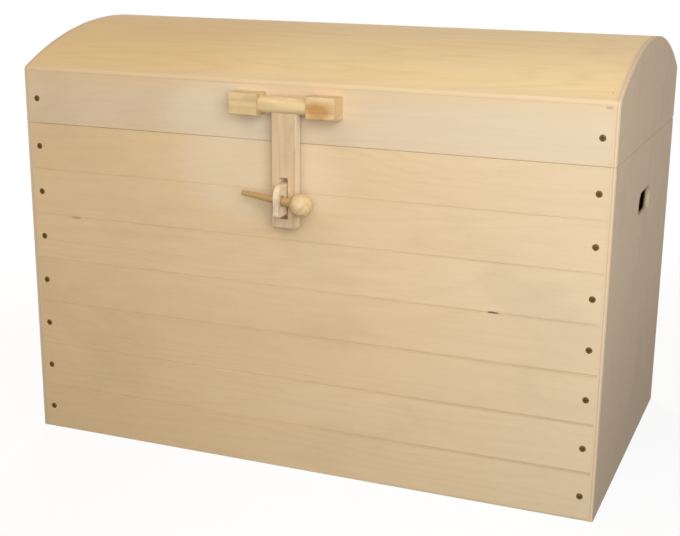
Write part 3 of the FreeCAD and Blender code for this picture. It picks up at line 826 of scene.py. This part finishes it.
for name, material in finishes.items():
    nodes[name].data.materials.clear()
    nodes[name].data.materials.append(material)
print("dressed", len(finishes), "of", len(nodes), "pieces")

# %% [markdown]
# ## Screws
#
# Every board is held at each end by a bronzed steel screw with a round, slightly raised head and a cross
# recess. The CAD screws have six flats to keep them light, so round ones stand for them here, each over its
# own hole. A recess could be cut with a boolean, but drawing the cross into the top of the head gives
# clean edges at once.

# %% Solids and their ends
weld_distance = 0.00001
ring_tolerance = 0.00005


def loose_solids(name):
    """Corners of each separate solid in a CAD piece."""
    shape = bmesh.new()
    shape.from_mesh(nodes[name].data)
    bmesh.ops.remove_doubles(shape, verts=shape.verts, dist=weld_distance)
    seen = set()
    solids = []
    for first in shape.verts:
        if first in seen:
            continue
        seen.add(first)
        joined = [first]
        for vertex in joined:
            for edge in vertex.link_edges:
                other = edge.other_vert(vertex)
                if other not in seen:
                    seen.add(other)
                    joined.append(other)
        solids.append([vertex.co.copy() for vertex in joined])
    shape.free()
    return solids


def end_ring(corners, direction):
    """Middle and radius of the ring of corners that lies furthest along a direction."""
    furthest = max(corner.dot(direction) for corner in corners)
    ring = [corner for corner in corners if furthest - corner.dot(direction) < ring_tolerance]
    middle = sum(ring, Vector()) / len(ring)
    return middle, (ring[0] - middle).length


print("front screws are", len(loose_solids("front_screws")), "solids")

# %% Where the screws are
def screw_ends(corners):
    """Head middle, tip middle, head radius and shank radius of a screw that lies along its longest side."""
    spans = []
    for axis in range(3):
        reach = [corner[axis] for corner in corners]
        spans.append(max(reach) - min(reach))
    direction = Vector([1.0 if span == max(spans) else 0.0 for span in spans])
    ends = [end_ring(corners, direction), end_ring(corners, -direction)]
    (head, head_radius), (tip, shank_radius) = sorted(ends, key=lambda end: -end[1])
    return head, tip, head_radius, shank_radius


screw_nodes = [name for name in nodes if name.endswith("screws")]
screws = {name: [screw_ends(corners) for corners in loose_solids(name)] for name in screw_nodes}
print("screws", {name: len(places) for name, places in screws.items()})

# %% Rings, crosses and the skin between them
def ring_of(shape, radius, height, sides):
    """Ring of corners round Z."""
    turns = [2 * math.pi * step / sides for step in range(sides)]
    return [shape.verts.new((radius * math.cos(turn), radius * math.sin(turn), height)) for turn in turns]


def cross_of(shape, arm, half_width, height):
    """Outline of an upright cross, twelve corners."""
    quarter = [(arm, -half_width), (arm, half_width), (half_width, half_width)]
    corners = []
    for turn in range(4):
        cosine = round(math.cos(turn * math.pi / 2))
        sine = round(math.sin(turn * math.pi / 2))
        corners += [(x * cosine - y * sine, x * sine + y * cosine) for x, y in quarter]
    return [shape.verts.new((x, y, height)) for x, y in corners]


def skin(shape, lower, upper):
    """Faces between two rings with the same count of corners."""
    for step in range(len(lower)):
        shape.faces.new((lower[step - 1], lower[step], upper[step], upper[step - 1]))


def loop_edges(shape, corners):
    """Edges round a closed outline, drawn where they are still missing."""
    pairs = [(corners[step - 1], corners[step]) for step in range(len(corners))]
    return [shape.edges.get(pair) or shape.edges.new(pair) for pair in pairs]


print("outline helpers ready")

# %% One screw
screw_sides = 24
# Shares of the head's radius and of its rise, from the rim to the flat top.
head_dome = [(1.0, 0.0), (0.93, 0.45), (0.8, 0.8), (0.62, 1.0)]
tip_share = 0.2
cross_arm = 0.5
cross_half_width = 0.12
cross_floor_arm = 0.34
cross_floor_half_width = 0.07
cross_depth = 0.4


def draw_screw(head_radius, shank_radius, length, raised):
    """One screw along Z, its tip down and the rim of its head at the origin's height."""
    shape = bmesh.new()
    cone = head_radius - shank_radius
    profile = [(shank_radius * tip_share, -length), (shank_radius, -length + 2 * shank_radius)]
    profile.append((shank_radius, -cone))
    profile += [(head_radius * across, raised * up) for across, up in head_dome]
    rings = [ring_of(shape, radius, height, screw_sides) for radius, height in profile]
    for lower, upper in zip(rings, rings[1:]):
        skin(shape, lower, upper)
    shape.faces.new(list(reversed(rings[0])))
    mouth = cross_of(shape, head_radius * cross_arm, head_radius * cross_half_width, raised)
    floor_of_cross = cross_of(shape, head_radius * cross_floor_arm, head_radius * cross_floor_half_width,
                              raised - head_radius * cross_depth)
    skin(shape, mouth, floor_of_cross)
    shape.faces.new(floor_of_cross)
    top_edges = loop_edges(shape, rings[-1]) + loop_edges(shape, mouth)
    bmesh.ops.triangle_fill(shape, edges=top_edges, use_beauty=True)
    bmesh.ops.recalc_face_normals(shape, faces=shape.faces)
    return shape


print("a screw has", screw_sides, "sides, and its cross is", cross_depth, "of the head's radius deep")


def new_piece(name, shape, crease):
    """Object from a bmesh, smooth up to the crease angle."""
    mesh = bpy.data.meshes.new(name)
    shape.to_mesh(mesh)
    shape.free()
    mesh.polygons.foreach_set("use_smooth", [True] * len(mesh.polygons))
    mesh.set_sharp_from_angle(angle=math.radians(crease))
    piece = bpy.data.objects.new(name, mesh)
    bpy.context.scene.collection.objects.link(piece)
    return piece


def stands_for(piece, name, material):
    """The piece takes the place, the body and the material slot of a CAD piece."""
    piece.data.materials.append(material)
    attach(piece, nodes[name]["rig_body"])
    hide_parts(name)


# %% Round screws
# Hinge and block screws lie flush, and bottom screws stay sunk, clear of the floor.
# The heads of all others lie sunk in CAD and are lifted until their rims show just over the wood.
flush_rims = {"hinge_lower_screws": 0.00002, "hinge_upper_screws": 0.00002, "hasp_block_screws": 0.00002,
              "bottom_screws": 0.0}
rim_over_wood = 0.00063
raised_head = 0.00035
flush_head = 0.00003
over_the_hole = 1.04
turn_by = math.radians(37)
screw_crease = 30
for name, places in screws.items():
    group = bmesh.new()
    rim = flush_rims.get(name, rim_over_wood)
    raised = flush_head if name in flush_rims else raised_head
    for index, (head, tip, head_radius, shank_radius) in enumerate(places):
        outward = (head - tip).normalized()
        one = draw_screw(head_radius * over_the_hole, shank_radius, (head - tip).length, raised)
        turn = Matrix.Rotation(turn_by * index, 4, "Z")
        lean = outward.to_track_quat("Z", "Y").to_matrix().to_4x4()
        spot = Matrix.Translation(head + outward * rim) @ lean @ turn
        bmesh.ops.transform(one, matrix=spot, verts=one.verts)
        carried = bpy.data.meshes.new("one_screw")
        one.to_mesh(carried)
        one.free()
        group.from_mesh(carried)
        bpy.data.meshes.remove(carried)
    finish = hinge_brass if name.startswith("hinge") else screw_bronze
    stands_for(new_piece("round_" + name, group, screw_crease), name, finish)
print("round screws stand for", len(screws), "groups")

# %% [markdown]
# ## The turned peg and its ball
#
# The peg was turned between centres: it tapers to a blunt rounded tip, and a ball is glued on its thick end.
# CAD draws both with flats. A modifier could spin a profile, but drawing it ring by ring about the axis
# of the peg gives the smooth turned surface as one closed mesh, with the small dimple at the ball's far end
# where the lathe's centre held it, and the blind hole that the peg is glued into.

# %% Turning a profile
turned_sides = 64
turned_crease = 50


def turned(name, profile, start, direction):
    """Piece turned about an axis from (radius, distance) points. The first and the last lie on the axis."""
    shape = bmesh.new()
    first = shape.verts.new((0.0, 0.0, profile[0][1]))
    rings = [ring_of(shape, radius, distance, turned_sides) for radius, distance in profile[1:-1]]
    last = shape.verts.new((0.0, 0.0, profile[-1][1]))
    for lower, upper in zip(rings, rings[1:]):
        skin(shape, lower, upper)
    for step in range(turned_sides):
        shape.faces.new((first, rings[0][step], rings[0][step - 1]))
        shape.faces.new((last, rings[-1][step - 1], rings[-1][step]))
    lean = direction.to_track_quat("Z", "Y").to_matrix().to_4x4()
    bmesh.ops.transform(shape, matrix=Matrix.Translation(start) @ lean, verts=shape.verts)
    bmesh.ops.recalc_face_normals(shape, faces=shape.faces)
    return new_piece(name, shape, turned_crease)


print("turned pieces have", turned_sides, "sides")

# %% Turned peg
slide = next(joint for joint in frame["joints"] if joint["name"] == "peg_slide")
outward = Vector(slide["axis"]).normalized()
peg_corners = loose_solids("locking_peg")[0]
tip = end_ring(peg_corners, -outward)[0]
ball_middle, root_radius = end_ring(peg_corners, outward)
peg_length = (ball_middle - tip).length
tip_radius = 0.003
tip_round = 0.0018
tip_steps = 7
blunt_share = 0.45
peg_profile = [(0.0, 0.0)]
for step in range(1, tip_steps + 1):
    turn = step / tip_steps * math.pi / 2
    share = blunt_share + (1 - blunt_share) * math.sin(turn)
    peg_profile.append((tip_radius * share, tip_round * (1 - math.cos(turn))))
for share in (0.2, 0.4, 0.6, 0.8, 1.0):
    radius = tip_radius + (root_radius - tip_radius) * share
    peg_profile.append((radius, tip_round + (peg_length - tip_round) * share))
peg_profile.append((0.0, peg_length))
stands_for(turned("turned_peg", peg_profile, tip, outward), "locking_peg", peg_wood)
print("peg length", round(peg_length, 4), "root radius", round(root_radius, 4))

# %% Turned ball
inside_cad_ball = 0.00012
ball_corners = loose_solids("peg_knob")[0]
ball_radius = max((corner - ball_middle).length for corner in ball_corners) - inside_cad_ball
# The peg has tapered a little where it enters the ball, so the mouth of the hole is narrower than its end.
neck_share = 0.98
neck_radius = root_radius * neck_share
dimple_radius = 0.0013
dimple_waist = 0.7
dimple_lip = 0.0005
dimple_depth = 0.0008
glue_gap = 0.0001
ball_steps = 32
neck_turn = math.asin(neck_radius / ball_radius)
pole_turn = math.pi - math.asin(dimple_radius / ball_radius)
ball_profile = [(0.0, glue_gap), (root_radius + glue_gap, glue_gap)]
for step in range(ball_steps + 1):
    turn = neck_turn + (pole_turn - neck_turn) * step / ball_steps
    ball_profile.append((ball_radius * math.sin(turn), -ball_radius * math.cos(turn)))
far_end = ball_profile[-1][1]
ball_profile += [(dimple_radius * dimple_waist, far_end - dimple_lip), (0.0, far_end - dimple_depth)]
stands_for(turned("turned_ball", ball_profile, ball_middle, outward), "peg_knob", ball_wood)
print("ball radius", round(ball_radius, 5))
